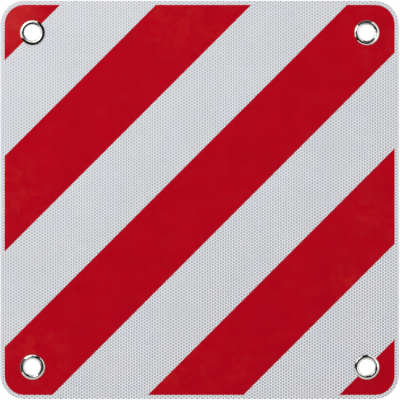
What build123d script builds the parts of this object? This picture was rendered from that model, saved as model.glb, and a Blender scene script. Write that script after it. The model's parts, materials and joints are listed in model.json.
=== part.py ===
from build123d import *
import os
from math import asin, cos, degrees, radians

# Overhanging load sign: a striped reflective panel with an eyelet in each corner.
# Seen from the front, X runs to the right and Z runs up. Y runs to the rear.
# The origin is the middle of the four eyelets, on the back face of the plate.
# All sizes are in millimetres.

# Panel outline
SIGN_SIDE = 500.0
CORNER_RADIUS = 30.0

# Layers, from the back to the front
PLATE_THICKNESS = 1.0
ADHESIVE_THICKNESS = 0.05
BEAD_SHEET_THICKNESS = 0.22
COVER_FILM_THICKNESS = 0.08
RED_THICKNESS = 0.06
PLATE_EDGE_ROUND = 0.25

# Red areas, which rise to the right. Width and spacing are measured up an edge of the panel
RED_ANGLE = 45.0
RED_WIDTH = 120.0
RED_SPACING = 240.0
WHITE_MARGIN = 5.0

# Eyelets: one sheet formed into a domed flange at the front, a barrel and a rolled end at the back
EYELET_INSET = 40.0
EYELET_SHEET = 0.6
BORE_RADIUS = 10.0
CREST_RADIUS = 12.7
CREST_HEIGHT = 2.2
FLANGE_RADIUS = 16.0
ROLL_RADIUS = 1.6
HOLE_CLEARANCE = 0.25

# Dished washers between the plate and the rolled ends
WASHER_SHEET = 0.5
WASHER_RISE = 0.6
WASHER_OUTER_RADIUS = 15.5
WASHER_SHOULDER_RADIUS = 13.7
WASHER_BEND_RADIUS = 0.7

# Distances in front of the back face of the plate
ADHESIVE_DEPTH = PLATE_THICKNESS
BEAD_SHEET_DEPTH = ADHESIVE_DEPTH + ADHESIVE_THICKNESS
COVER_FILM_DEPTH = BEAD_SHEET_DEPTH + BEAD_SHEET_THICKNESS
RED_DEPTH = COVER_FILM_DEPTH + COVER_FILM_THICKNESS
FLANGE_SEAT_DEPTH = RED_DEPTH + RED_THICKNESS
ROLL_SEAT_DEPTH = -(WASHER_RISE + WASHER_SHEET)

HOLE_RADIUS = BORE_RADIUS + EYELET_SHEET + HOLE_CLEARANCE
EYELET_REACH = SIGN_SIDE / 2 - EYELET_INSET
EYELET_PLACES = {
    "top_left": (-EYELET_REACH, EYELET_REACH),
    "top_right": (EYELET_REACH, EYELET_REACH),
    "bottom_left": (-EYELET_REACH, -EYELET_REACH),
    "bottom_right": (EYELET_REACH, -EYELET_REACH),
}

# Each red area's place, in red spacings up from the middle of the panel
RED_STEPS = {
    "red_corner_top_left": 2,
    "red_stripe_upper_left": 1,
    "red_stripe_centre": 0,
    "red_stripe_lower_right": -1,
    "red_corner_bottom_right": -2,
}

# Half sections of the round pieces: the radius runs to the right, the depth upwards
SECTION_PLANE = Plane(origin=(0, 0, 0), x_dir=(1, 0, 0), z_dir=(0, 0, -1))


def panel_outline(inset=0.0):
    """The rounded square of the panel, drawn in all round by the inset, with the eyelet holes."""
    side = SIGN_SIDE - 2 * inset
    outline = RectangleRounded(side, side, CORNER_RADIUS - inset)
    for place in EYELET_PLACES.values():
        outline -= Pos(*place) * Circle(HOLE_RADIUS)
    return outline


def layer(outline, depth, thickness):
    """A flat layer that starts at the depth and grows towards the front."""
    return extrude(Plane.XZ.offset(depth) * outline, thickness)


def back_plate():
    """The aluminium plate, with its rim rounded at the back, where the blanking tool pressed it in."""
    plate = layer(panel_outline(), 0, PLATE_THICKNESS)
    back_face = plate.faces().sort_by(Axis.Y)[-1]
    return fillet(back_face.outer_wire().edges(), PLATE_EDGE_ROUND)


def red_area(steps):
    """The part of the panel inside the white margin that one diagonal red band covers."""
    band = Rectangle(2 * SIGN_SIDE, RED_WIDTH * cos(radians(RED_ANGLE)))
    band = Pos(0, steps * RED_SPACING) * Rot(0, 0, RED_ANGLE) * band
    return layer(panel_outline(WHITE_MARGIN) & band, RED_DEPTH, RED_THICKNESS)


def ring(section):
    """The half section turned about the Y axis."""
    return revolve(SECTION_PLANE * section, axis=Axis.Y)


def eyelet():
    """One eyelet about the Y axis. Its path follows the outer side of the sheet, from rim to rolled end."""
    crest_depth = FLANGE_SEAT_DEPTH + CREST_HEIGHT
    flange_width = FLANGE_RADIUS - CREST_RADIUS
    dome_radius = (flange_width**2 + CREST_HEIGHT**2) / (2 * CREST_HEIGHT)
    dome_centre = (CREST_RADIUS, crest_depth - dome_radius)
    rim_angle = degrees(asin((dome_radius - CREST_HEIGHT) / dome_radius))
    spare_angle = 15
    dome = CenterArc(dome_centre, dome_radius, rim_angle - spare_angle, 90 - rim_angle + spare_angle)

    throat_radius = CREST_RADIUS - BORE_RADIUS
    throat_centre = (CREST_RADIUS, crest_depth - throat_radius)
    throat = CenterArc(throat_centre, throat_radius, 90, 90)
    barrel = Line(throat @ 1, (BORE_RADIUS, ROLL_SEAT_DEPTH))
    roll = CenterArc((BORE_RADIUS + ROLL_RADIUS, ROLL_SEAT_DEPTH), ROLL_RADIUS, 180, 180)

    path = Curve() + [dome, throat, barrel, roll]
    section = make_face(offset(path, EYELET_SHEET, side=Side.RIGHT))
    # The rim is cut off level, so that it sits flat on the panel
    roll_edge = BORE_RADIUS + 2 * ROLL_RADIUS
    below_rim = Rectangle(FLANGE_RADIUS, CREST_HEIGHT, align=(Align.MIN, Align.MAX))
    return ring(section - Pos(roll_edge, FLANGE_SEAT_DEPTH) * below_rim)


def washer():
    """One washer about the Y axis. Its path follows the back of the sheet from the hole to the rim."""
    slope = (WASHER_OUTER_RADIUS - WASHER_SHOULDER_RADIUS) / -ROLL_SEAT_DEPTH
    path = FilletPolyline(
        (HOLE_RADIUS, ROLL_SEAT_DEPTH),
        (WASHER_SHOULDER_RADIUS, ROLL_SEAT_DEPTH),
        (WASHER_OUTER_RADIUS + slope * WASHER_SHEET, WASHER_SHEET),
        radius=WASHER_BEND_RADIUS,
    )
    section = make_face(offset(path, WASHER_SHEET, side=Side.LEFT))
    # The rim is cut off level with the back face of the plate
    in_plate = Rectangle(2 * WASHER_OUTER_RADIUS, 2 * WASHER_SHEET, align=(Align.MIN, Align.MIN))
    return ring(section - in_plate)


def all_nodes():
    """Every piece of the sign by name, each one in its place."""
    nodes = {
        "back_plate": back_plate(),
        "film_adhesive": layer(panel_outline(), ADHESIVE_DEPTH, ADHESIVE_THICKNESS),
        "bead_sheet": layer(panel_outline(), BEAD_SHEET_DEPTH, BEAD_SHEET_THICKNESS),
        "cover_film": layer(panel_outline(), COVER_FILM_DEPTH, COVER_FILM_THICKNESS),
    }
    for name, steps in RED_STEPS.items():
        nodes[name] = red_area(steps)
    for corner, (x, z) in EYELET_PLACES.items():
        nodes[f"eyelet_{corner}"] = Pos(x, 0, z) * eyelet()
        nodes[f"washer_{corner}"] = Pos(x, 0, z) * washer()
    return nodes


os.makedirs("parts", exist_ok=True)
for node_name, solid in all_nodes().items():
    export_step(solid, f"parts/{node_name}.step")
    print(f"{node_name}: {solid.volume:.1f} mm3")
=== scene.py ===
"""Dresses the overhanging load sign: a striped reflective panel with an eyelet in each corner."""

import json
from contextlib import contextmanager
from math import asin, ceil, cos, degrees, floor, hypot, pi, radians, sin, sqrt

import bmesh
import bpy
from bpy.props import FloatProperty, FloatVectorProperty, IntProperty, PointerProperty
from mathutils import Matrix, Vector


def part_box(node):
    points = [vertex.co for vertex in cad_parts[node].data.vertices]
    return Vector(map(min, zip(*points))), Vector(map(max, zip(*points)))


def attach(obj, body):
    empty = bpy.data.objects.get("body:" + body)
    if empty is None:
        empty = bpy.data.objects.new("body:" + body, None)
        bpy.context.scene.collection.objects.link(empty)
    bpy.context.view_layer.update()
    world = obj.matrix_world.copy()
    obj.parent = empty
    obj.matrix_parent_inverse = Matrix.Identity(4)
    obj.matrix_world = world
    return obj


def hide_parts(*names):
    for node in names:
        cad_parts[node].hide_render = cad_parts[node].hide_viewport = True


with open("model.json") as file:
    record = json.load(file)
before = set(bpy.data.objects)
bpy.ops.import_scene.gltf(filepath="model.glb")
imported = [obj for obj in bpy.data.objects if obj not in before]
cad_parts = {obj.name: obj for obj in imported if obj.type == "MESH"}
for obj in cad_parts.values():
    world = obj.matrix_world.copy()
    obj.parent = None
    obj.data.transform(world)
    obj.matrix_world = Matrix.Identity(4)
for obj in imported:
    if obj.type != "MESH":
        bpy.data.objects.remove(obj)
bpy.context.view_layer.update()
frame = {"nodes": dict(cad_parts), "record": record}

bl_info = {
    "name": "Overhanging load sign",
    "version": (1, 0, 0),
    "blender": (4, 5, 0),
    "location": "View3D > Sidebar > Load sign",
    "description": "Models the looks of a striped reflective panel with corner eyelets",
    "category": "Object",
}

# The sign's front faces -Y. The plate's back face is at y = 0, and z runs up. Sizes are in metres
MM = 0.001
UPPER_LEFT = Vector((-1, 0, 1)).normalized()

# The turn that makes a flat primitive face the front, and a camera look at the sign's face
UPRIGHT = (pi / 2, 0, 0)

PLATE_LOW, PLATE_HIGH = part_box("back_plate")
HALF_SIDE = PLATE_HIGH.x
SHEET_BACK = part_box("bead_sheet")[1].y
SHEET_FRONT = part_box("cover_film")[0].y
RED_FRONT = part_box("red_stripe_centre")[0].y
WHITE_MARGIN = HALF_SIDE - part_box("red_stripe_centre")[1].x
EYELET_LOW, EYELET_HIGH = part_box("eyelet_top_left")
FLANGE_RADIUS = (EYELET_HIGH.x - EYELET_LOW.x) / 2
WASHER_LOW, WASHER_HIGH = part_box("washer_top_left")
WASHER_RADIUS = (WASHER_HIGH.x - WASHER_LOW.x) / 2

BORES = [mount for mount in frame["record"]["mounts"] if mount["kind"] == "bore"]
BORE_RADIUS = BORES[0]["dims"]["r_mm"] * MM
EYELET_PLACES = {bore["name"].removesuffix("_eyelet_bore"): Vector(bore["pos_m"]) for bore in BORES}

# Each red area's place, in red spacings up from the middle of the panel
RED_STEPS = {
    "red_corner_top_left": 2,
    "red_stripe_upper_left": 1,
    "red_stripe_centre": 0,
    "red_stripe_lower_right": -1,
    "red_corner_bottom_right": -2,
}

# How close two points or heights have to be to count as the same
SAME_PLACE = 0.01 * MM

# Edges along the curves of an eyelet's section, and round the floor and the dark sleeve
ARC_STEPS = 12
ROLL_STEPS = 16
STAGE_STEPS = 96

# Where handling dulled the film in wisps, and where the red is paler, partly scuffing and partly a painted
# sheen: x, z and radius in millimetres, and strength
RUB_AND_SHEEN_MARKS = (
    (-230, 228, 75, 0.45),
    (-38, 224, 58, 0.45),
    (8, 200, 40, 0.4),
    (-234, 8, 55, 0.5),
    (216, -26, 44, 0.4),
    (180, -98, 26, 0.5),
    (-26, -212, 50, 0.5),
    (40, -204, 30, 0.5),
    (-208, -196, 55, 0.5),
    (228, 190, 35, 0.5),
)

# The corner that handling dulled evenly, where the red is paler, partly scuffing and partly a painted sheen,
# given in the same way
RUBBED_AND_SHEEN_CORNER = (-232, 220, 46, 0.64)

# Painted light: the way in which the cells grow paler and the walls greyer across the panel, as the fall of
# light makes them look, and by how much over half a panel
PAINTED_LIGHT_WAY = Vector((-0.49, 0, 0.87))
CELL_PAINTED_LIGHT_DRIFT = 0.10
WALL_PAINTED_LIGHT_DRIFT = -0.07
RED_PAINTED_LIGHT_DRIFT = 0.055

# The slight tints between which the white sheeting wanders
WARM = (1.006, 1.0, 0.988)
COOL = (0.994, 1.0, 1.014)

WHITE = (1.0, 1.0, 1.0)

# The range that most values of a noise lie in
NOISE_SPREAD = (0.3, 0.7)

# The Vector Math operations whose result is a number
NUMBER_OPERATIONS = ("DISTANCE", "DOT_PRODUCT", "LENGTH")

# The colour sockets of a Mix node, which share their names with its other sockets
MIX_FIRST = 6
MIX_SECOND = 7
MIX_RESULT = 2

# The UV map that the baked textures use
BAKE_MAP = "OFBake"

# Each lamp's place and size
LAMPS = {
    "key": (Vector((-0.95, -1.35, 0.95)), 0.9),
    "fill": (Vector((1.6, -2.6, -0.2)), 1.5),
    "rear": (Vector((1.2, 2.4, 1.6)), 1.5),
}

# The sign hangs a little left of and above the middle of the picture
CAMERA_SHIFT = Vector((0.46 * MM, 0, -0.1 * MM))
SENSOR_WIDTH = 36.0

# The shares of the floor's radius between which it fades into the backdrop
FLOOR_FADE = (0.20, 0.70)

# How far in front of the plate's back face the dark flags start
FLAG_GAP = 20 * MM

# The leaning dark card that the back of the sign mirrors
REAR_CARD_SIZE = (1.6, 0.6)
REAR_CARD_PLACE = (0, 0.8, 0.75)
REAR_CARD_TURN = (-pi / 4, 0, 0)


def length(name, description, default):
    """A size in metres that a user can change."""
    limits = {"min": 0.0, "precision": 5, "unit": "LENGTH"}
    return FloatProperty(name=name, description=description, default=default, **limits)


def colour(name, description, default):
    """A colour in linear values that a user can change."""
    limits = {"min": 0.0, "max": 1.0, "subtype": "COLOR"}
    return FloatVectorProperty(name=name, description=description, default=default, **limits)


def power(name, description, default):
    """A lamp's power in watts that a user can change."""
    return FloatProperty(name=name, description=description, default=default, min=0.0, unit="POWER")


def edge_count(name, description, default):
    """A number of edges that a user can change."""
    return IntProperty(name=name, description=description, default=default, min=12)


class SignPanelSettings(bpy.types.PropertyGroup):
    """Sizes and colours of the plate and its holes."""

    corner_radius: length("Corner radius", "Radius of the panel's four corners", 30 * MM)
    edge_round: length("Edge round", "Rounding of the plate's rim at the back", 0.25 * MM)
    hole_radius: length("Hole radius", "Radius of the holes for the eyelets", 10.85 * MM)
    corner_steps: edge_count("Corner steps", "Edges along each rounded corner", 24)
    hole_steps: edge_count("Hole steps", "Edges round each hole", 72)
    aluminium: colour("Aluminium", "Colour of the bare plate", (0.66, 0.67, 0.685))
    adhesive: colour("Adhesive", "Colour of the adhesive's edge", (0.66, 0.65, 0.58))


class SignSheetingSettings(bpy.types.PropertyGroup):
    """Sizes and colours of the honeycomb sheeting and of the red areas on it."""

    cell_pitch: length("Cell pitch", "From one cell's middle to the next one's", 3.8 * MM)
    wall_slope: length("Wall slope", "Width of the slope between a cell and its wall", 0.8 * MM)
    wall_width: length("Wall width", "Width of the sealed walls between the cells", 1.0 * MM)
    emboss_depth: length("Emboss depth", "How far the walls lie below the cells", 0.03 * MM)
    red_width: length("Red width", "Width of a red area, up an edge of the panel", 120 * MM)
    red_spacing: length("Red spacing", "Distance between red areas, up an edge of the panel", 240 * MM)
    wall_white: colour("Wall white", "Colour of the walls between the cells", (0.790, 0.805, 0.850))
    bead_grey: colour("Bead grey", "Colour of the glass beads in a cell", (0.465, 0.472, 0.497))
    red: colour("Red", "Colour of the red areas over the cells", (0.402, 0.00037, 0.0090))
    red_wall: colour("Red wall", "Colour of the red areas over the walls", (0.487, 0.00072, 0.0119))
    # The scuffed red is partly scuffing and partly a painted sheen
    sheen_and_scuff_red: colour("Scuffed red", "Colour of the red areas where rubbed", (0.505, 0.0105, 0.0105))


class SignEyeletSettings(bpy.types.PropertyGroup):
    """Sizes and colours of the eyelets and their washers."""

    sheet: length("Eyelet sheet", "Thickness of an eyelet's sheet", 0.6 * MM)
    crest_radius: length("Crest radius", "Radius of the eyelet's highest ring", 12.7 * MM)
    roll_radius: length("Roll radius", "Radius of the rolled end at the back", 1.6 * MM)
    dent_size: length("Dent size", "Width of the dents from crimping", 20 * MM)
    dent_depth: length("Dent depth", "Depth of the dents from crimping", 0.022 * MM)
    washer_sheet: length("Washer sheet", "Thickness of a washer's sheet", 0.5 * MM)
    washer_shoulder: length("Washer shoulder", "Radius at which a washer turns down", 13.7 * MM)
    washer_bend: length("Washer bend", "Reach of the bend to each side of the shoulder", 0.4 * MM)
    turn_steps: edge_count("Turn steps", "Edges round an eyelet", 96)
    nickel: colour("Nickel", "Colour of the plating", (0.78, 0.765, 0.735))
    dull_tint: colour("Tarnish", "Colour of the plating in the crevices", (0.40, 0.37, 0.32))


class SignStageSettings(bpy.types.PropertyGroup):
    """The camera, floor, dark cards and lamps."""

    camera_distance: length("Camera distance", "From the camera to the sign's face", 2.0)
    view_width: length("View width", "Width of the picture at the sign's face", 0.5023)
    floor_drop: length("Floor drop", "How far the floor lies below the hung sign", 0.20)
    floor_radius: length("Floor radius", "Radius of the floor", 2.2)
    floor: colour("Floor", "Colour of the floor", (0.80, 0.80, 0.80))
    sky_level: FloatProperty(name="Sky level", description="Strength of even light", default=0.725, min=0.0)
    key_power: power("Key", "Power of the lamp at the upper left", 12.2)
    fill_power: power("Fill", "Power of the lamp at the right", 10.0)
    rear_power: power("Rear", "Power of the lamp behind the sign", 12.0)
    card: colour("Card", "Colour of the dark cards, flags and sleeve", (0.02, 0.02, 0.02))
    card_size: length("Card size", "Side of the dark card that the sign's face mirrors", 0.75)
    card_distance: length("Card distance", "From the dark card to the sign's face", 0.48)
    card_shift: length("Card shift", "Shift of the dark card to the right and down", 0.035)
    card_fade_start: length("Card fade start", "Where the card starts to fade at the upper left", 0.40)
    card_fade_end: length("Card fade end", "Where the card has faded at the upper left", 0.50)
    flag_depth: length("Flag depth", "Depth of the dark flags beside the key lamp", 0.75)
    flag_distance: length("Flag distance", "From the dark flags to the sign's middle", 0.47)
    flag_reach: length("Flag reach", "Reach of the upper flag to the right, and the left one down", 0.36)
    flag_overlap: length("Flag overlap", "Reach of the upper flag left of the middle", 0.03)
    sleeve_radius: length("Sleeve radius", "Radius of the sleeve round the top left eyelet", 19 * MM)
    sleeve_height: length("Sleeve height", "How far the sleeve stands out from the sign", 38 * MM)
    sleeve_overlap: length("Sleeve overlap", "Reach of the sleeve past the eyelet's middle", 6.65 * MM)


@contextmanager
def edit_mode(piece):
    """Opens the piece in edit mode with everything selected, and leaves edit mode at the end."""
    bpy.context.view_layer.objects.active = piece
    bpy.ops.object.mode_set(mode="EDIT")
    bpy.ops.mesh.select_all(action="SELECT")
    yield
    bpy.ops.object.mode_set(mode="OBJECT")


def new_piece(name, add_primitive, rotation=UPRIGHT, **options):
    """Adds a primitive, names it, and puts its place and turn into its mesh."""
    bpy.ops.object.select_all(action="DESELECT")
    add_primitive(rotation=rotation, **options)
    piece = bpy.context.object
    piece.name = name
    piece.data.name = name
    bpy.ops.object.transform_apply(location=True, rotation=True, scale=True)
    return piece


def apply_modifier(piece, kind, **settings):
    """Adds a modifier with the settings and applies it."""
    bpy.context.view_layer.objects.active = piece
    modifier = piece.modifiers.new(kind.title(), kind)
    for name, value in settings.items():
        setattr(modifier, name, value)
    bpy.ops.object.modifier_apply(modifier=modifier.name)


def select(piece, kind, test):
    """Selects the faces or the edges in edit mode that pass the test."""
    bpy.ops.mesh.select_mode(type=kind)
    bpy.ops.mesh.select_all(action="DESELECT")
    mesh = bmesh.from_edit_mesh(piece.data)
    for element in mesh.faces if kind == "FACE" else mesh.edges:
        element.select_set(test(element))
    bmesh.update_edit_mesh(piece.data)


def middle_of(edge):
    """The middle of an edge."""
    return (edge.verts[0].co + edge.verts[1].co) / 2


def face_outwards():
    """Turns all faces outwards in edit mode."""
    bpy.ops.mesh.select_all(action="SELECT")
    bpy.ops.mesh.normals_make_consistent(inside=False)


def cut_with(piece, tool, operation):
    """Cuts the piece with a tool, and removes the tool."""
    apply_modifier(piece, "BOOLEAN", object=tool, operation=operation, solver="EXACT")
    bpy.data.objects.remove(tool)


def smooth(piece, angle):
    """Shades the piece smooth, apart from edges sharper than the angle in degrees."""
    bpy.ops.object.select_all(action="DESELECT")
    piece.select_set(True)
    bpy.context.view_layer.objects.active = piece
    bpy.ops.object.shade_smooth_by_angle(angle=radians(angle))


def require_closed(piece):
    """Stops the script if the piece isn't a closed solid that faces outwards."""
    mesh = bmesh.new()
    mesh.from_mesh(piece.data)
    open_edges = sum(not edge.is_manifold for edge in mesh.edges)
    volume = mesh.calc_volume(signed=True)
    mesh.free()
    if open_edges or volume <= 0:
        raise RuntimeError(f"{piece.name} has {open_edges} open edges and a volume of {volume}")


def flat_bake_map(piece, faces_front):
    """Gives the front or the back face most of the UV map, and the other faces a strip beside it."""
    main_share = 0.94
    gap = 0.01
    strip_share = 1 - main_share - 3 * gap
    mostly = 0.5
    mesh = piece.data
    low = [min(vertex.co[axis] for vertex in mesh.vertices) for axis in (0, 2)]
    high = [max(vertex.co[axis] for vertex in mesh.vertices) for axis in (0, 2)]
    span = max(high[0] - low[0], high[1] - low[1])
    side = -1 if faces_front else 1
    layer = mesh.uv_layers.new(name=BAKE_MAP)
    for face in mesh.polygons:
        is_main = face.normal.y * side > mostly
        start, share = (gap, main_share) if is_main else (main_share + 2 * gap, strip_share)
        for corner in face.loop_indices:
            place = mesh.vertices[mesh.loops[corner].vertex_index].co
            across = (place.x - low[0]) / span
            up = (place.z - low[1]) / span * (1 - 2 * gap) + gap
            layer.data[corner].uv = (start + across * share, up)


def hand_over(piece, slot, *nodes):
    """Makes sure that the piece is closed, lets it ride with the sign, and hides the CAD nodes that it
    stands for.
    """
    require_closed(piece)
    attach(piece, "root")
    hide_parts(*nodes)


def feed(tree, socket, value):
    """Links a socket to another node's output, or sets it. A set colour is opaque."""
    if isinstance(value, bpy.types.NodeSocket):
        tree.links.new(value, socket)
    elif socket.type == "RGBA":
        socket.default_value = (*value, 1.0)
    else:
        socket.default_value = value


def new_node(tree, kind, inputs=None, **settings):
    """Adds a node with the settings, and feeds its inputs."""
    made = tree.nodes.new(kind)
    for name, value in settings.items():
        setattr(made, name, value)
    for name, value in (inputs or {}).items():
        feed(tree, made.inputs[name], value)
    return made


def calculate(tree, operation, *numbers):
    """The output of a Math node."""
    return new_node(tree, "ShaderNodeMath", dict(enumerate(numbers)), operation=operation).outputs[0]


def calculate_vector(tree, operation, *vectors):
    """The output of a Vector Math node."""
    made = new_node(tree, "ShaderNodeVectorMath", dict(enumerate(vectors)), operation=operation)
    return made.outputs["Value" if operation in NUMBER_OPERATIONS else "Vector"]


def part_of(tree, vector, axis):
    """A vector's part along an axis."""
    return new_node(tree, "ShaderNodeSeparateXYZ", {0: vector}).outputs[axis]


def remap(tree, value, from_range, to_range=(0.0, 1.0), smooth_step=False):
    """The value mapped from one range to another, and kept inside it."""
    names = ("Value", "From Min", "From Max", "To Min", "To Max")
    inputs = dict(zip(names, (value, *from_range, *to_range)))
    kind = "SMOOTHSTEP" if smooth_step else "LINEAR"
    return new_node(tree, "ShaderNodeMapRange", inputs, interpolation_type=kind).outputs["Result"]


def mix_colours(tree, share, first, second, blend="MIX"):
    """Two colours mixed by a share from 0 to 1."""
    inputs = {0: share, MIX_FIRST: first, MIX_SECOND: second}
    mixer = new_node(tree, "ShaderNodeMix", inputs, data_type="RGBA", blend_type=blend)
    return mixer.outputs[MIX_RESULT]


def multiply_colour(tree, base, factor):
    """A colour times a number or another colour."""
    return mix_colours(tree, 1.0, base, factor, blend="MULTIPLY")


def noise(tree, place, size, detail=2.0, stretch=(1.0, 1.0, 1.0), swirl=0.0):
    """A noise from 0 to 1 in patches of the size, drawn out by the stretch and twisted by the swirl."""
    scale = [1.0 / (size * part) for part in stretch]
    mapped = new_node(tree, "ShaderNodeMapping", {"Vector": place, "Scale": scale})
    inputs = {"Vector": mapped.outputs[0], "Scale": 1.0, "Detail": detail, "Distortion": swirl}
    return new_node(tree, "ShaderNodeTexNoise", inputs).outputs["Fac"]


def variation(tree, place, size, low, high, detail):
    """A number that wanders between low and high in patches of about the size."""
    return remap(tree, noise(tree, place, size, detail), NOISE_SPREAD, (low, high))


def bump(tree, height, distance):
    """The normal of a surface that the height moves by up to the distance."""
    inputs = {"Height": height, "Distance": distance, "Strength": 1.0}
    return new_node(tree, "ShaderNodeBump", inputs).outputs["Normal"]


def new_material(name):
    """An empty node material: its tree, its Principled shader and its Object coordinates."""
    material = bpy.data.materials.new(name)
    material.use_nodes = True
    tree = material.node_tree
    tree.nodes.clear()
    shader = new_node(tree, "ShaderNodeBsdfPrincipled")
    new_node(tree, "ShaderNodeOutputMaterial", {"Surface": shader.outputs[0]})
    place = new_node(tree, "ShaderNodeTexCoord").outputs["Object"]
    return material, tree, shader, place


def set_inputs(tree, shader, **inputs):
    """Feeds inputs of the shader. An underscore in a name stands for a space."""
    for name, value in inputs.items():
        feed(tree, shader.inputs[name.replace("_", " ")], value)


def give_way(tree, shader, other, share):
    """Lets the surface's shader give way to another one by a share from 0 to 1."""
    surface = shader.outputs[0].links[0].to_socket
    mixed = new_node(tree, "ShaderNodeMixShader", {0: share, 1: shader.outputs[0], 2: other.outputs[0]})
    tree.links.new(mixed.outputs[0], surface)


def distance_in_cell(tree, place, pitch):
    """How far a point lies from its cell's middle towards the wall, which is half a pitch away."""
    column = pitch * sqrt(3) / 2
    cell_high = Vector((column, 1.0, pitch / 2))
    towards_slanted_wall = (sqrt(3) / 2, 0.0, 0.5)
    distances = []
    for shift in ((0.0, 0.0, 0.0), (column, 0.0, pitch / 2)):
        moved = calculate_vector(tree, "SUBTRACT", place, shift)
        wrapped = calculate_vector(tree, "WRAP", moved, cell_high, -cell_high)
        folded = calculate_vector(tree, "ABSOLUTE", wrapped)
        slanted = calculate_vector(tree, "DOT_PRODUCT", folded, towards_slanted_wall)
        distances.append(calculate(tree, "MAXIMUM", slanted, part_of(tree, folded, "Z")))
    return calculate(tree, "MINIMUM", *distances)


def wall_share(tree, place, settings):
    """1 on the sealed walls of the honeycomb, 0 over its cells, with a soft edge between."""
    from_middle = distance_in_cell(tree, place, settings.cell_pitch)
    wall_edge = (settings.cell_pitch - settings.wall_width) / 2
    softness = 0.12 * MM
    return remap(tree, from_middle, (wall_edge - softness, wall_edge + softness), smooth_step=True)


def painted_light_drift(tree, place, amount):
    """Painted light across the panel: 1 in the middle, and more by the amount half a panel along the paler
    way.
    """
    along = calculate_vector(tree, "DOT_PRODUCT", place, PAINTED_LIGHT_WAY / HALF_SIDE)
    return calculate(tree, "MULTIPLY_ADD", along, amount, 1.0)


def honeycomb_colour(tree, place, settings, cell, wall):
    """The colour of the cells and of the walls between them, each given as a colour and the share of painted
    light that it gains across the panel.
    """
    colours = [multiply_colour(tree, base, painted_light_drift(tree, place, amount)) for base, amount in (cell, wall)]
    return mix_colours(tree, wall_share(tree, place, settings), *colours)


def near_mark(tree, place, mark, core_share):
    """A rub and painted sheen mark's strength, full over the core share of its radius, and 0 from the radius
    on.
    """
    *sizes, strength = mark
    x, z, radius = (size * MM for size in sizes)
    away = calculate_vector(tree, "DISTANCE", place, (x, SHEET_FRONT, z))
    return remap(tree, away, (core_share * radius, radius), (strength, 0.0))


def rubbed_and_sheen_share(tree, place):
    """How far the film was dulled by rubbing, which also gives the red its painted sheen: in wisps round the
    rub marks, and evenly in one corner.
    """
    nearness = 0.0
    for mark in RUB_AND_SHEEN_MARKS:
        nearness = calculate(tree, "MAXIMUM", nearness, near_mark(tree, place, mark, core_share=0.3))
    swirls = noise(tree, place, size=17 * MM, detail=5.0, swirl=1.0)
    wisps = remap(tree, swirls, from_range=(0.46, 0.66))
    corner = near_mark(tree, place, RUBBED_AND_SHEEN_CORNER, core_share=0.0)
    return calculate(tree, "MULTIPLY_ADD", nearness, wisps, corner)


def film_gloss(tree, place):
    """The clear film's share of rubbing and painted sheen, its roughness and normal: slightly wavy, and
    duller where the rub marks lie.
    """
    rubbed_roughness = 0.07
    wave_height = 0.03 * MM
    uneven = noise(tree, place, size=25 * MM, detail=6.0, stretch=(1.0, 1.0, 0.6))
    clean_roughness = remap(tree, uneven, from_range=(0.42, 0.72), to_range=(0.07, 0.13))
    rubbed_and_sheen = rubbed_and_sheen_share(tree, place)
    roughness = calculate(tree, "MULTIPLY_ADD", rubbed_and_sheen, rubbed_roughness, clean_roughness)
    waves = noise(tree, place, size=7 * MM)
    return rubbed_and_sheen, roughness, bump(tree, waves, wave_height)


def sheeting_material(settings):
    """White sheeting: grey glass beads in cells between white walls, under a clear glossy film."""
    material, tree, shader, place = new_material("honeycomb_sheeting")
    beads = variation(tree, place, size=0.35 * MM, low=0.90, high=1.10, detail=1.0)
    uneven = variation(tree, place, size=4 * MM, low=0.95, high=1.05, detail=1.0)
    clouds = variation(tree, place, size=60 * MM, low=0.98, high=1.02, detail=3.0)
    tint_noise = noise(tree, place, size=45 * MM, detail=3.0)
    tint = mix_colours(tree, remap(tree, tint_noise, from_range=(0.35, 0.65)), WARM, COOL)

    grey = multiply_colour(tree, settings.bead_grey, calculate(tree, "MULTIPLY", beads, uneven))
    # Painted light: the cells pale and the walls grey towards the top and a little to the left
    wall = (settings.wall_white, WALL_PAINTED_LIGHT_DRIFT)
    base = honeycomb_colour(tree, place, settings, (grey, CELL_PAINTED_LIGHT_DRIFT), wall)
    base = multiply_colour(tree, multiply_colour(tree, base, clouds), tint)
    _, roughness, normal = film_gloss(tree, place)
    set_inputs(tree, shader, Base_Color=base, Roughness=roughness, Normal=normal)
    return material


def red_material(settings):
    """Red overlay: transparent colour on the sheeting, so that the cells show through a little."""
    material, tree, shader, place = new_material("red_overlay")
    clouds = variation(tree, place, size=35 * MM, low=0.96, high=1.05, detail=4.0)
    # Painted light: the red cells pale and the red walls darken towards the top and a little to the left
    wall = (settings.red_wall, -RED_PAINTED_LIGHT_DRIFT)
    base = honeycomb_colour(tree, place, settings, (settings.red, RED_PAINTED_LIGHT_DRIFT), wall)
    rubbed_and_sheen, roughness, normal = film_gloss(tree, place)
    # Painted sheen and scuffing: the red turns paler towards the scuffed red round the rub marks
    base = mix_colours(tree, rubbed_and_sheen, multiply_colour(tree, base, clouds), settings.sheen_and_scuff_red)
    set_inputs(tree, shader, Base_Color=base, Roughness=roughness, Normal=normal)
    return material


def torn_share(tree, place):
    """1 on the dull front part of the plate's cut edge, where the sheet tore off, and 0 elsewhere."""
    most_towards_y = 0.2
    torn_part = 0.6
    raggedness = 0.25 * MM
    softness = 0.03 * MM
    facing = new_node(tree, "ShaderNodeNewGeometry").outputs["True Normal"]
    towards_y = calculate(tree, "ABSOLUTE", part_of(tree, facing, "Y"))
    on_edge = calculate(tree, "LESS_THAN", towards_y, most_towards_y)
    wobble = noise(tree, place, size=0.6 * MM)
    depth = calculate(tree, "MULTIPLY_ADD", wobble, raggedness, part_of(tree, place, "Y"))
    tear_end = PLATE_LOW.y + torn_part * (PLATE_HIGH.y - PLATE_LOW.y) + raggedness / 2
    in_tear = remap(tree, depth, (tear_end, tear_end + softness), (1.0, 0.0))
    return calculate(tree, "MULTIPLY", on_edge, in_tear)


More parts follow.
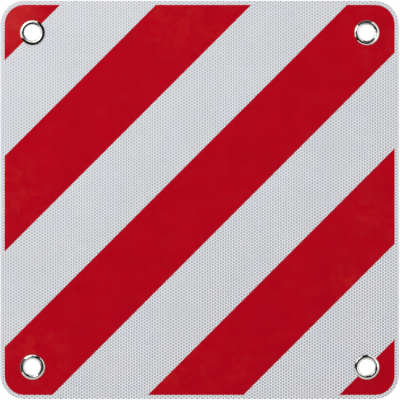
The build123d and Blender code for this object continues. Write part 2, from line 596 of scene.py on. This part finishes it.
def aluminium_material(settings):
    """Mill-finished aluminium: rolling lines along X, a few scratches, faint smudges and a torn edge."""
    material, tree, shader, place = new_material("mill_aluminium")
    scratch_turn = (0.0, radians(27), 0.0)
    scratch_depth = 2.0
    grain_height = 6.0
    torn_roughness = 0.25
    relief = 0.004 * MM
    rolling = noise(tree, place, size=0.4 * MM, detail=3.0, stretch=(120.0, 1.0, 1.0))
    broad = noise(tree, place, size=5 * MM, detail=3.0, stretch=(60.0, 1.0, 1.0))
    smudges = noise(tree, place, size=70 * MM, detail=5.0)
    turned = new_node(tree, "ShaderNodeMapping", {"Vector": place, "Rotation": scratch_turn}).outputs[0]
    lines = noise(tree, turned, size=0.7 * MM, detail=1.0, stretch=(160.0, 1.0, 1.0))
    scratches = remap(tree, lines, from_range=(0.70, 0.76))
    grains = noise(tree, place, size=0.12 * MM)
    torn = torn_share(tree, place)

    base = multiply_colour(tree, settings.aluminium, remap(tree, broad, NOISE_SPREAD, (0.94, 1.04)))
    base = multiply_colour(tree, base, remap(tree, smudges, NOISE_SPREAD, (0.95, 1.03)))
    base = multiply_colour(tree, base, remap(tree, torn, (0.0, 1.0), (1.0, 0.78)))
    rough = remap(tree, rolling, from_range=(0.25, 0.75), to_range=(0.30, 0.46))
    rough = calculate(tree, "ADD", rough, remap(tree, smudges, (0.45, 0.7), (0.0, 0.09)))
    rough = calculate(tree, "MULTIPLY_ADD", torn, torn_roughness, rough)
    height = calculate(tree, "MULTIPLY_ADD", scratches, -scratch_depth, rolling)
    height = calculate(tree, "MULTIPLY_ADD", torn, calculate(tree, "MULTIPLY", grains, grain_height), height)
    normal = bump(tree, height, relief)
    set_inputs(tree, shader, Base_Color=base, Metallic=1.0, Roughness=rough, Normal=normal)
    return material


def nickel_material(settings, name, axis_place):
    """Bright plating: fine wear lines round the ring, and duller tint down in the crevices."""
    material, tree, shader, place = new_material(name)
    turn_length = 2 * MM
    crevice_reach = 0.5 * MM
    dull_roughness = 0.2
    relief = 0.003 * MM
    centred = calculate_vector(tree, "SUBTRACT", place, axis_place)
    x, y, z = (part_of(tree, centred, axis) for axis in "XYZ")
    radius = calculate_vector(tree, "LENGTH", calculate_vector(tree, "MULTIPLY", centred, (1.0, 0.0, 1.0)))
    turn = calculate(tree, "MULTIPLY", calculate(tree, "ARCTAN2", z, x), turn_length)
    along_ring = new_node(tree, "ShaderNodeCombineXYZ", {"X": radius, "Y": y, "Z": turn}).outputs[0]
    wear = noise(tree, along_ring, size=0.25 * MM, detail=3.0, stretch=(1.0, 1.0, 6.0))
    patches = noise(tree, place, size=5 * MM, detail=4.0)

    # Darker and duller within half a millimetre of the sign's face, where the flange meets it, and in random
    # patches
    from_face = calculate(tree, "ABSOLUTE", calculate(tree, "SUBTRACT", y, SHEET_FRONT))
    in_crevice = remap(tree, from_face, (0.0, crevice_reach), (0.3, 0.0))
    dull = calculate(tree, "MAXIMUM", in_crevice, remap(tree, patches, (0.55, 0.8), (0.0, 0.25)))
    base = mix_colours(tree, dull, settings.nickel, settings.dull_tint)
    rough = remap(tree, wear, NOISE_SPREAD, (0.07, 0.16))
    rough = calculate(tree, "MULTIPLY_ADD", dull, dull_roughness, rough)
    normal = bump(tree, wear, relief)
    set_inputs(tree, shader, Base_Color=base, Metallic=1.0, Roughness=rough, Normal=normal)
    return material


def adhesive_material(settings):
    """Milky adhesive, seen only as a thin line at the edge."""
    material, tree, shader, place = new_material("clear_adhesive")
    streaks = noise(tree, place, size=3 * MM, detail=3.0)
    base = multiply_colour(tree, settings.adhesive, remap(tree, streaks, NOISE_SPREAD, (0.85, 1.1)))
    set_inputs(tree, shader, Base_Color=base, Roughness=remap(tree, streaks, NOISE_SPREAD, (0.4, 0.6)))
    return material


def hole_drills(panel):
    """Four round bars, one through each eyelet's place, as one cutting tool."""
    add_bar = bpy.ops.mesh.primitive_cylinder_add
    sizes = {"vertices": panel.hole_steps, "radius": panel.hole_radius, "depth": 40 * MM}
    bars = []
    for name, place in EYELET_PLACES.items():
        bars.append(new_piece(f"drill_{name}", add_bar, location=place, **sizes))
    for bar in bars:
        bar.select_set(True)
    bpy.ops.object.join()
    return bpy.context.object


def band_planes(sheeting, steps):
    """The two edges of a red band: a point on each, and the direction out of the band."""
    for side in (1, -1):
        edge_height = steps * sheeting.red_spacing - side * sheeting.red_width / 2
        yield Vector((0, 0, edge_height)), -side * UPPER_LEFT


def panel_blank(name, panel, inset, front, back, planes=()):
    """A flat piece with the panel's outline, drawn in by the inset, cut at the planes and drilled."""
    side = 2 * (HALF_SIDE - inset)
    radius = panel.corner_radius - inset
    piece = new_piece(name, bpy.ops.mesh.primitive_plane_add, size=side, location=(0, front, 0))
    with edit_mode(piece):
        bpy.ops.mesh.bevel(offset=radius, segments=panel.corner_steps, affect="VERTICES")
        for point, normal in planes:
            bpy.ops.mesh.select_all(action="SELECT")
            bpy.ops.mesh.bisect(plane_co=point, plane_no=normal, clear_outer=True)
        bpy.ops.mesh.select_all(action="SELECT")
        bpy.ops.mesh.extrude_region_move(TRANSFORM_OT_translate={"value": (0, back - front, 0)})
        face_outwards()
    cut_with(piece, hole_drills(panel), "DIFFERENCE")
    return piece


def cell_middle(x, z, pitch):
    """The middle of the honeycomb cell that holds a point."""
    column = pitch * sqrt(3) / 2
    middles = []
    for shift in (0.0, 0.5):
        middle_x = 2 * column * (round(x / (2 * column) - shift) + shift)
        middle_z = pitch * (round(z / pitch - shift) + shift)
        middles.append((middle_x, middle_z))
    return min(middles, key=lambda middle: hypot(x - middle[0], z - middle[1]))


def depth_in_panel(x, z, corner_radius):
    """How far a point lies inside the panel's outline."""
    past_x = abs(x) - (HALF_SIDE - corner_radius)
    past_z = abs(z) - (HALF_SIDE - corner_radius)
    if past_x > 0 and past_z > 0:
        return corner_radius - hypot(past_x, past_z)
    return corner_radius - max(past_x, past_z)


def depth_in_band(x, z, sheeting, steps):
    """How far a point lies inside a red band, measured square to its edges."""
    height = z - x - steps * sheeting.red_spacing
    return (sheeting.red_width / 2 - abs(height)) / sqrt(2)


def embossed_cells(name, sheeting, front, low, high):
    """An open sheet of honeycomb cells that covers the area between two corners."""
    pitch = sheeting.cell_pitch
    column = pitch * sqrt(3) / 2
    first_column = floor(low.x / (2 * column))
    first_row = floor(low.z / pitch)
    columns = ceil(high.x / (2 * column)) - first_column + 2
    rows = ceil(high.z / pitch) - first_row + 2
    first_x = (2 * first_column - 1) * column
    first_z = (first_row - 0.5) * pitch
    first_middle = (first_x, front + sheeting.emboss_depth, first_z)
    turn = (pi / 2, pi / 6, 0)
    hexagon = {"vertices": 6, "radius": pitch / sqrt(3), "fill_type": "NGON", "rotation": turn}
    cells = new_piece(name, bpy.ops.mesh.primitive_circle_add, location=first_middle, **hexagon)
    with edit_mode(cells):
        bpy.ops.mesh.inset(thickness=sheeting.wall_slope, depth=sheeting.emboss_depth)
        bpy.ops.mesh.select_all(action="SELECT")
        bpy.ops.mesh.duplicate_move(TRANSFORM_OT_translate={"value": (column, 0, pitch / 2)})
    offset = {"use_relative_offset": False, "use_constant_offset": True}
    for count, step in ((rows, (0, 0, pitch)), (columns, (2 * column, 0, 0))):
        apply_modifier(cells, "ARRAY", count=count, constant_offset_displace=step, **offset)
    with edit_mode(cells):
        bpy.ops.mesh.remove_doubles(threshold=SAME_PLACE)
    return cells


def remove_cells(cells, pitch, test):
    """Deletes every whole cell whose middle passes the test."""

    def is_unwanted(face):
        middle = face.calc_center_median()
        return test(*cell_middle(middle.x, middle.z, pitch))

    select(cells, "FACE", is_unwanted)
    bpy.ops.mesh.delete(type="FACE")


def close_back(cells, back):
    """Closes the open sheet of cells with side walls and a flat back."""
    select(cells, "EDGE", lambda edge: edge.is_boundary)
    bpy.ops.mesh.extrude_edges_move()
    bpy.ops.transform.resize(value=(1, 0, 1), center_override=(0, back, 0))
    bpy.ops.mesh.fill()
    face_outwards()


def lathe(name, centre, section, steps):
    """Models a ring: a circle is extruded and resized round the points of its closed section."""
    (radius, y), *others = section
    options = {"vertices": steps, "radius": radius, "location": centre + Vector((0, y, 0))}
    ring = new_piece(name, bpy.ops.mesh.primitive_circle_add, **options)
    with edit_mode(ring):
        for next_radius, next_y in others:
            bpy.ops.mesh.extrude_edges_move(TRANSFORM_OT_translate={"value": (0, next_y - y, 0)})
            share = next_radius / radius
            bpy.ops.transform.resize(value=(share, 1, share), center_override=centre)
            radius, y = next_radius, next_y
        select(ring, "EDGE", lambda edge: edge.is_boundary)
        bpy.ops.mesh.bridge_edge_loops()
        face_outwards()
    return ring


def arc(centre, radius, start, end, steps):
    """Points on an arc of a half section as radius and y, with angles in degrees from the radius axis."""
    angles = [radians(start + (end - start) * step / steps) for step in range(steps + 1)]
    return [(centre[0] + radius * cos(angle), centre[1] - radius * sin(angle)) for angle in angles]


def eyelet_section(settings):
    """The closed half section of an eyelet: the sheet's outer side, then its inner side back to the rim."""
    crest_height = RED_FRONT - EYELET_LOW.y
    flange_width = FLANGE_RADIUS - settings.crest_radius
    dome_radius = (flange_width**2 + crest_height**2) / (2 * crest_height)
    dome_middle = (settings.crest_radius, EYELET_LOW.y + dome_radius)
    throat_radius = settings.crest_radius - BORE_RADIUS
    throat_middle = (settings.crest_radius, EYELET_LOW.y + throat_radius)
    roll_middle = (BORE_RADIUS + settings.roll_radius, EYELET_HIGH.y - settings.roll_radius)

    def side(inset):
        rim_angle = degrees(asin((dome_radius - crest_height) / (dome_radius - inset)))
        dome = arc(dome_middle, dome_radius - inset, rim_angle, 90, ARC_STEPS)
        throat = arc(throat_middle, throat_radius - inset, 90, 180, ARC_STEPS)
        roll = arc(roll_middle, settings.roll_radius - inset, 180, 360, ROLL_STEPS)
        # The throat starts where the dome ends
        return dome + throat[1:] + roll

    return side(0.0) + side(settings.sheet)[::-1]


def washer_section(settings):
    """The closed half section of a dished washer, from its hole over the shoulder to the plate and back."""
    back = WASHER_HIGH.y
    hole = bpy.context.scene.sign_panel.hole_radius
    run = WASHER_RADIUS - settings.washer_shoulder
    slope = run / back
    rim_width = settings.washer_sheet * hypot(run, back) / back
    under = back - settings.washer_sheet
    return [
        (hole, back),
        (settings.washer_shoulder, back),
        (WASHER_RADIUS, 0.0),
        (WASHER_RADIUS - rim_width, 0.0),
        (WASHER_RADIUS - rim_width - slope * under, under),
        (hole, under),
    ]


def round_back_rim(plate, panel):
    """Rounds the plate's outer rim at the back."""
    near = 0.1 * MM

    def is_back_rim(edge):
        middle = middle_of(edge)
        flat = abs(edge.verts[0].co.y - edge.verts[1].co.y) < near
        at_outline = depth_in_panel(middle.x, middle.z, panel.corner_radius) < near
        return flat and at_outline and abs(middle.y - PLATE_HIGH.y) < near

    with edit_mode(plate):
        select(plate, "EDGE", is_back_rim)
        bpy.ops.mesh.bevel(offset=panel.edge_round, segments=4, affect="EDGES")


def bend_shoulder(washer, centre, settings):
    """Rounds a washer's bend where it turns down to the plate."""
    near = 0.02 * MM

    def is_shoulder(edge):
        radii = [hypot(vertex.co.x - centre.x, vertex.co.z - centre.z) for vertex in edge.verts]
        level = abs(edge.verts[0].co.y - edge.verts[1].co.y) < SAME_PLACE
        return level and all(abs(radius - settings.washer_shoulder) < near for radius in radii)

    with edit_mode(washer):
        select(washer, "EDGE", is_shoulder)
        bpy.ops.mesh.bevel(offset=settings.washer_bend, segments=5, affect="EDGES")


class SIGN_OT_back_plate(bpy.types.Operator):
    """Models the aluminium plate with its rounded rim and its holes"""

    bl_idname = "load_sign.back_plate"
    bl_label = "Back plate"

    def execute(self, context):
        panel = context.scene.sign_panel
        plate = panel_blank("mill_finished_plate", panel, 0.0, PLATE_LOW.y, PLATE_HIGH.y)
        round_back_rim(plate, panel)
        smooth(plate, angle=30)
        apply_modifier(plate, "WEIGHTED_NORMAL", keep_sharp=True)
        flat_bake_map(plate, faces_front=False)
        plate.data.materials.append(aluminium_material(panel))
        hand_over(plate, "plate_aluminium", "back_plate")
        return {"FINISHED"}


class SIGN_OT_adhesive(bpy.types.Operator):
    """Gives the adhesive layer its finish"""

    bl_idname = "load_sign.adhesive"
    bl_label = "Adhesive"

    def execute(self, context):
        adhesive = frame["nodes"]["film_adhesive"]
        adhesive.data.materials.clear()
        adhesive.data.materials.append(adhesive_material(context.scene.sign_panel))
        return {"FINISHED"}


class SIGN_OT_sheeting(bpy.types.Operator):
    """Models the white sheeting with its embossed honeycomb cells"""

    bl_idname = "load_sign.sheeting"
    bl_label = "White sheeting"

    def execute(self, context):
        panel = context.scene.sign_panel
        sheeting = context.scene.sign_sheeting
        pitch = sheeting.cell_pitch
        sheet = embossed_cells("honeycomb_sheeting", sheeting, SHEET_FRONT, PLATE_LOW, PLATE_HIGH)

        def is_under_red(x, z):
            in_band = max(depth_in_band(x, z, sheeting, steps) for steps in RED_STEPS.values())
            return in_band > pitch and depth_in_panel(x, z, panel.corner_radius) > WHITE_MARGIN + pitch

        def is_round_flat_part(edge):
            middle = middle_of(edge)
            return edge.is_boundary and depth_in_panel(middle.x, middle.z, panel.corner_radius) > 0

        with edit_mode(sheet):
            # Under the red areas the cells don't show, so the sheet is flat there
            remove_cells(sheet, pitch, is_under_red)
            select(sheet, "EDGE", is_round_flat_part)
            bpy.ops.mesh.fill()
            close_back(sheet, SHEET_BACK)
        # The cutter reaches past both faces
        cutter = panel_blank("sheeting_cutter", panel, 0.0, 2 * SHEET_FRONT, -SHEET_FRONT)
        cut_with(sheet, cutter, "INTERSECT")
        smooth(sheet, angle=1)
        flat_bake_map(sheet, faces_front=True)
        sheet.data.materials.append(sheeting_material(sheeting))
        hand_over(sheet, "white_bead_sheet", "bead_sheet", "cover_film")
        return {"FINISHED"}


class SIGN_OT_red_areas(bpy.types.Operator):
    """Models the five red areas with the cells that show through them"""

    bl_idname = "load_sign.red_areas"
    bl_label = "Red areas"

    def execute(self, context):
        panel = context.scene.sign_panel
        sheeting = context.scene.sign_sheeting
        pitch = sheeting.cell_pitch
        material = red_material(sheeting)
        for node, steps in RED_STEPS.items():
            area = embossed_cells(f"{node}_face", sheeting, RED_FRONT, *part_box(node))
            with edit_mode(area):
                remove_cells(area, pitch, lambda x, z: depth_in_band(x, z, sheeting, steps) < -pitch)
                close_back(area, SHEET_FRONT)
            planes = band_planes(sheeting, steps)
            cutter = panel_blank("red_cutter", panel, WHITE_MARGIN, 2 * RED_FRONT, -RED_FRONT, planes)
            cut_with(area, cutter, "INTERSECT")
            smooth(area, angle=1)
            flat_bake_map(area, faces_front=True)
            area.data.materials.append(material)
            hand_over(area, "red_overlay", node)
        return {"FINISHED"}


class SIGN_OT_eyelets(bpy.types.Operator):
    """Models the four plated eyelets with their domed flanges and rolled ends"""

    bl_idname = "load_sign.eyelets"
    bl_label = "Eyelets"

    def execute(self, context):
        settings = context.scene.sign_eyelet
        dents = bpy.data.textures.new("crimping_dents", "CLOUDS")
        dents.noise_scale = settings.dent_size
        uneven = {"texture": dents, "texture_coords": "LOCAL", "mid_level": 1.0}
        section = eyelet_section(settings)
        for corner, place in EYELET_PLACES.items():
            eyelet = lathe(f"plated_eyelet_{corner}", place, section, settings.turn_steps)
            apply_modifier(eyelet, "DISPLACE", strength=settings.dent_depth, **uneven)
            smooth(eyelet, angle=40)
            eyelet.data.materials.append(nickel_material(settings, f"nickel_eyelet_{corner}", place))
            hand_over(eyelet, "plated_metal", f"eyelet_{corner}")
        return {"FINISHED"}


class SIGN_OT_washers(bpy.types.Operator):
    """Models the four dished washers under the rolled ends"""

    bl_idname = "load_sign.washers"
    bl_label = "Washers"

    def execute(self, context):
        settings = context.scene.sign_eyelet
        section = washer_section(settings)
        for corner, place in EYELET_PLACES.items():
            washer = lathe(f"dished_washer_{corner}", place, section, settings.turn_steps)
            bend_shoulder(washer, place, settings)
            smooth(washer, angle=35)
            washer.data.materials.append(nickel_material(settings, f"nickel_washer_{corner}", place))
            hand_over(washer, "plated_metal", f"washer_{corner}")
        return {"FINISHED"}


def add_camera(stage):
    """The camera, square in front of the sign."""
    place = CAMERA_SHIFT + Vector((0, SHEET_FRONT - stage.camera_distance, 0))
    bpy.ops.object.camera_add(location=place, rotation=UPRIGHT)
    camera = bpy.context.object
    camera.data.sensor_width = SENSOR_WIDTH
    camera.data.lens = SENSOR_WIDTH * stage.camera_distance / stage.view_width
    bpy.context.scene.camera = camera


def add_lamp(name, place, size, strength):
    """A square soft lamp that shines from a place towards the sign's middle."""
    turn = (-place).to_track_quat("-Z", "Y").to_euler()
    bpy.ops.object.light_add(type="AREA", location=place, rotation=turn)
    lamp = bpy.context.object
    lamp.name = name
    lamp.data.energy = strength
    lamp.data.size = size


def make_dark_card(stage, card, name):
    """Makes a stage object dark and lets only reflections see it."""
    material, tree, shader, _ = new_material(name)
    set_inputs(tree, shader, Base_Color=stage.card, Roughness=0.9, Specular_IOR_Level=0.0)
    card.name = name
    card.data.materials.append(material)
    for rays in ("camera", "diffuse", "transmission", "volume_scatter", "shadow"):
        setattr(card, f"visible_{rays}", False)
    return tree, shader


def add_dark_card(stage, name, size, place, turn):
    """A flat dark card near the sign."""
    bpy.ops.mesh.primitive_plane_add(size=1, location=place, rotation=turn)
    card = bpy.context.object
    card.scale = (*size, 1)
    return make_dark_card(stage, card, name)


def add_front_card(stage):
    """The card that the sign's glossy face mirrors, which fades out towards its upper left corner."""
    place = (stage.card_shift, SHEET_FRONT - stage.card_distance, -stage.card_shift)
    size = (stage.card_size, stage.card_size)
    tree, shader = add_dark_card(stage, "front_card", size, place, UPRIGHT)
    position = new_node(tree, "ShaderNodeNewGeometry").outputs["Position"]
    along = calculate_vector(tree, "DOT_PRODUCT", position, UPPER_LEFT)
    share = remap(tree, along, (stage.card_fade_start, stage.card_fade_end))
    give_way(tree, shader, new_node(tree, "ShaderNodeBsdfTransparent"), share)


def add_flags(stage):
    """The flags above and at the left of the sign, which the eyelets mirror."""
    y = -FLAG_GAP - stage.flag_depth / 2
    upper_size = (stage.flag_reach + stage.flag_overlap, stage.flag_depth)
    upper_place = ((stage.flag_reach - stage.flag_overlap) / 2, y, stage.flag_distance)
    add_dark_card(stage, "upper_flag", upper_size, upper_place, (0, 0, 0))
    left_place = (-stage.flag_distance, y, -stage.flag_reach / 2)
    add_dark_card(stage, "left_flag", (stage.flag_reach, stage.flag_depth), left_place, (0, pi / 2, 0))


def add_sleeve(stage):
    """The dark sleeve at the top left eyelet's lower right side, which that eyelet mirrors."""
    place = EYELET_PLACES["top_left"] + Vector((0, SHEET_FRONT - stage.sleeve_height / 2, 0))
    tube = {"vertices": STAGE_STEPS, "radius": stage.sleeve_radius, "depth": stage.sleeve_height}
    bpy.ops.mesh.primitive_cylinder_add(end_fill_type="NOTHING", location=place, rotation=UPRIGHT, **tube)
    sleeve = bpy.context.object
    with edit_mode(sleeve):
        cut = place + stage.sleeve_overlap * UPPER_LEFT
        bpy.ops.mesh.bisect(plane_co=cut, plane_no=UPPER_LEFT, clear_outer=True)
    make_dark_card(stage, sleeve, "corner_sleeve")


def backdrop_rays(tree):
    """1 for rays that show the backdrop: those of the camera, of reflections and of clear pieces."""
    path = new_node(tree, "ShaderNodeLightPath")
    seen = calculate(tree, "MAXIMUM", path.outputs["Is Camera Ray"], path.outputs["Is Glossy Ray"])
    return calculate(tree, "MAXIMUM", seen, path.outputs["Is Transmission Ray"])


def white_world(stage):
    """A white backdrop that lights the sign evenly from all sides."""
    world = bpy.data.worlds.new("white_studio")
    bpy.context.scene.world = world
    world.use_nodes = True
    tree = world.node_tree
    tree.nodes.clear()
    strength = remap(tree, backdrop_rays(tree), (0.0, 1.0), (stage.sky_level, 1.0))
    background = new_node(tree, "ShaderNodeBackground", {"Color": WHITE, "Strength": strength})
    new_node(tree, "ShaderNodeOutputWorld", {"Surface": background.outputs[0]})


def floor_material(stage):
    """A pale floor that fades into the white backdrop."""
    material, tree, shader, place = new_material("pale_floor")
    set_inputs(tree, shader, Base_Color=stage.floor, Roughness=0.7, Specular_IOR_Level=0.2)
    fade_range = [share * stage.floor_radius for share in FLOOR_FADE]
    faded = remap(tree, calculate_vector(tree, "LENGTH", place), fade_range, smooth_step=True)
    white = new_node(tree, "ShaderNodeEmission", {"Color": WHITE, "Strength": 1.0})
    give_way(tree, shader, white, calculate(tree, "MULTIPLY", faded, backdrop_rays(tree)))
    return material


def add_floor(stage):
    """The floor below the hung sign."""
    bpy.ops.mesh.primitive_circle_add(vertices=STAGE_STEPS, radius=stage.floor_radius, fill_type="NGON")
    floor_disc = bpy.context.object
    floor_disc.name = "floor"
    floor_disc.location.z = -HALF_SIDE - stage.floor_drop
    floor_disc.data.materials.append(floor_material(stage))


class SIGN_OT_stage(bpy.types.Operator):
    """Sets up the camera, floor, dark cards, lamps and backdrop"""

    bl_idname = "load_sign.stage"
    bl_label = "Stage"

    def execute(self, context):
        stage = context.scene.sign_stage
        add_camera(stage)
        add_floor(stage)
        add_front_card(stage)
        add_flags(stage)
        add_sleeve(stage)
        add_dark_card(stage, "rear_card", REAR_CARD_SIZE, REAR_CARD_PLACE, REAR_CARD_TURN)
        for name, (place, size) in LAMPS.items():
            add_lamp(name, place, size, getattr(stage, f"{name}_power"))
        white_world(stage)
        context.scene.view_settings.view_transform = "Standard"
        return {"FINISHED"}


OPERATORS = (
    SIGN_OT_back_plate,
    SIGN_OT_adhesive,
    SIGN_OT_sheeting,
    SIGN_OT_red_areas,
    SIGN_OT_eyelets,
    SIGN_OT_washers,
    SIGN_OT_stage,
)

SETTINGS = {
    "sign_panel": SignPanelSettings,
    "sign_sheeting": SignSheetingSettings,
    "sign_eyelet": SignEyeletSettings,
    "sign_stage": SignStageSettings,
}


class SIGN_PT_sidebar(bpy.types.Panel):
    """Lists the sign's pieces in the order in which they are made"""

    bl_idname = "SIGN_PT_sidebar"
    bl_label = "Overhanging load sign"
    bl_space_type = "VIEW_3D"
    bl_region_type = "UI"
    bl_category = "Load sign"

    def draw(self, context):
        for operator in OPERATORS:
            self.layout.operator(operator.bl_idname)
        for name, group in SETTINGS.items():
            box = self.layout.box()
            for setting in group.__annotations__:
                box.prop(getattr(context.scene, name), setting)


def register():
    """Adds the settings, the operators and the panel."""
    for group in SETTINGS.values():
        bpy.utils.register_class(group)
    for name, group in SETTINGS.items():
        setattr(bpy.types.Scene, name, PointerProperty(type=group))
    for operator in OPERATORS:
        bpy.utils.register_class(operator)
    bpy.utils.register_class(SIGN_PT_sidebar)


def unregister():
    """Takes them away again."""
    bpy.utils.unregister_class(SIGN_PT_sidebar)
    for operator in reversed(OPERATORS):
        bpy.utils.unregister_class(operator)
    for name in SETTINGS:
        delattr(bpy.types.Scene, name)
    for group in reversed(SETTINGS.values()):
        bpy.utils.unregister_class(group)


def main():
    """Makes all pieces and the stage."""
    register()
    bpy.ops.load_sign.back_plate()
    bpy.ops.load_sign.adhesive()
    bpy.ops.load_sign.sheeting()
    bpy.ops.load_sign.red_areas()
    bpy.ops.load_sign.eyelets()
    bpy.ops.load_sign.washers()
    bpy.ops.load_sign.stage()


if __name__ == "__main__":
    main()
